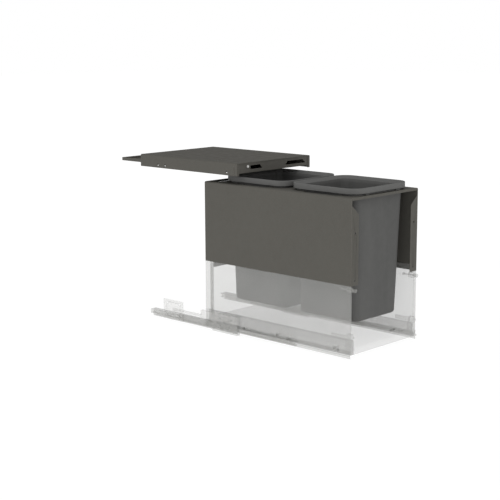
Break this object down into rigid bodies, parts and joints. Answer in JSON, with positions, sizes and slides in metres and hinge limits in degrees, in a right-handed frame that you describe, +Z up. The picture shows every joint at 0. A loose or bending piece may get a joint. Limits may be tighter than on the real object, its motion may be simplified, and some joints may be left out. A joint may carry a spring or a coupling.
{
  "type": "pull-out waste bin unit",
  "caption": "Pull-out waste bin unit for a narrow base cabinet: two lift-out bins in a folded steel frame on telescopic runners, under a fixed cover shelf.",
  "frame": {"origin": "centre of the four screw holes that carry the cabinet front, on the drawer's front plane", "axes": "+X right, -Y pull-out direction, +Z up"},
  "size_m": [0.268, 0.7815, 0.4195],
  "materials": {
    "dark_steel": "satin powder coat",
    "bin_plastic": "fine matt grain",
    "pale_panel": "pale, see-through",
    "pale_board": "white melamine-faced board, see-through",
    "pale_fitting": "pale, see-through",
    "zinc_rail": "pale zinc, see-through",
    "cage_plastic": "pale",
    "bright_steel": "bright zinc",
    "white_plastic": "satin"
  },
  "bodies": {
    "cabinet_side": {"cabinet_rail_left": "zinc_rail", "cabinet_rail_right": "zinc_rail", "rail_bracket_left": "pale_fitting", "rail_bracket_right": "pale_fitting", "rail_rear_plate_left": "pale_fitting", "rail_rear_plate_right": "pale_fitting", "rail_rivets": "bright_steel", "soft_close_left": "pale_fitting", "soft_close_right": "pale_fitting", "cover_shelf": "dark_steel", "cover_crossbar": "dark_steel", "lid_guide_left": "dark_steel", "lid_guide_right": "dark_steel", "cover_rivets": "bright_steel", "lid_stop": "white_plastic"},
    "drawer": {"bin_frame": "dark_steel", "frame_back": "dark_steel", "back_screws": "bright_steel", "lap_fasteners": "bright_steel", "lower_side_left": "pale_panel", "lower_side_right": "pale_panel", "base_board": "pale_board", "base_screws": "bright_steel", "rear_post_left": "pale_panel", "rear_post_right": "pale_panel", "front_bracket_left": "pale_fitting", "front_bracket_right": "pale_fitting", "front_connectors": "zinc_rail", "connector_clips": "pale_fitting", "drawer_rail_left": "zinc_rail", "drawer_rail_right": "zinc_rail", "rail_screws": "bright_steel"},
    "front_bin": {"bin_front": "bin_plastic"},
    "rear_bin": {"bin_rear": "bin_plastic"},
    "extension_tray": {"lid_tray": "dark_steel"},
    "middle_left": {"middle_rail_left": "zinc_rail"},
    "outer_cage_body_left": {"outer_cage_left": "cage_plastic", "outer_balls_left": "bright_steel"},
    "inner_cage_body_left": {"inner_cage_left": "cage_plastic", "inner_balls_left": "bright_steel"},
    "middle_right": {"middle_rail_right": "zinc_rail"},
    "outer_cage_body_right": {"outer_cage_right": "cage_plastic", "outer_balls_right": "bright_steel"},
    "inner_cage_body_right": {"inner_cage_right": "cage_plastic", "inner_balls_right": "bright_steel"}
  },
  "joints": [
    {"name": "drawer_slide", "type": "slide", "parent": "cabinet_side", "child": "drawer", "axis": [0, 1, 0], "range_m": [0, 0.341]},
    {"name": "front_bin_lift", "type": "slide", "parent": "drawer", "child": "front_bin", "axis": [0, 0, 1], "range_m": [0, 0.009]},
    {"name": "rear_bin_lift", "type": "slide", "parent": "drawer", "child": "rear_bin", "axis": [0, 0, 1], "range_m": [0, 0.009]},
    {"name": "tray_slide", "type": "slide", "parent": "cabinet_side", "child": "extension_tray", "axis": [0, -1, 0], "range_m": [0, 0.086]},
    {"name": "middle_slide_left", "type": "slide", "parent": "cabinet_side", "child": "middle_left", "axis": [0, 1, 0], "range_m": [0, 0.1705]},
    {"name": "outer_cage_slide_left", "type": "slide", "parent": "cabinet_side", "child": "outer_cage_body_left", "axis": [0, 1, 0], "range_m": [0, 0.08525]},
    {"name": "inner_cage_slide_left", "type": "slide", "parent": "cabinet_side", "child": "inner_cage_body_left", "axis": [0, 1, 0], "range_m": [0, 0.25575]},
    {"name": "middle_slide_right", "type": "slide", "parent": "cabinet_side", "child": "middle_right", "axis": [0, 1, 0], "range_m": [0, 0.1705]},
    {"name": "outer_cage_slide_right", "type": "slide", "parent": "cabinet_side", "child": "outer_cage_body_right", "axis": [0, 1, 0], "range_m": [0, 0.08525]},
    {"name": "inner_cage_slide_right", "type": "slide", "parent": "cabinet_side", "child": "inner_cage_body_right", "axis": [0, 1, 0], "range_m": [0, 0.25575]}
  ],
  "couplings": [
    {"joint": "middle_slide_left", "follows": "drawer_slide", "ratio": 0.5},
    {"joint": "outer_cage_slide_left", "follows": "drawer_slide", "ratio": 0.25},
    {"joint": "inner_cage_slide_left", "follows": "drawer_slide", "ratio": 0.75},
    {"joint": "middle_slide_right", "follows": "drawer_slide", "ratio": 0.5},
    {"joint": "outer_cage_slide_right", "follows": "drawer_slide", "ratio": 0.25},
    {"joint": "inner_cage_slide_right", "follows": "drawer_slide", "ratio": 0.75}
  ]
}
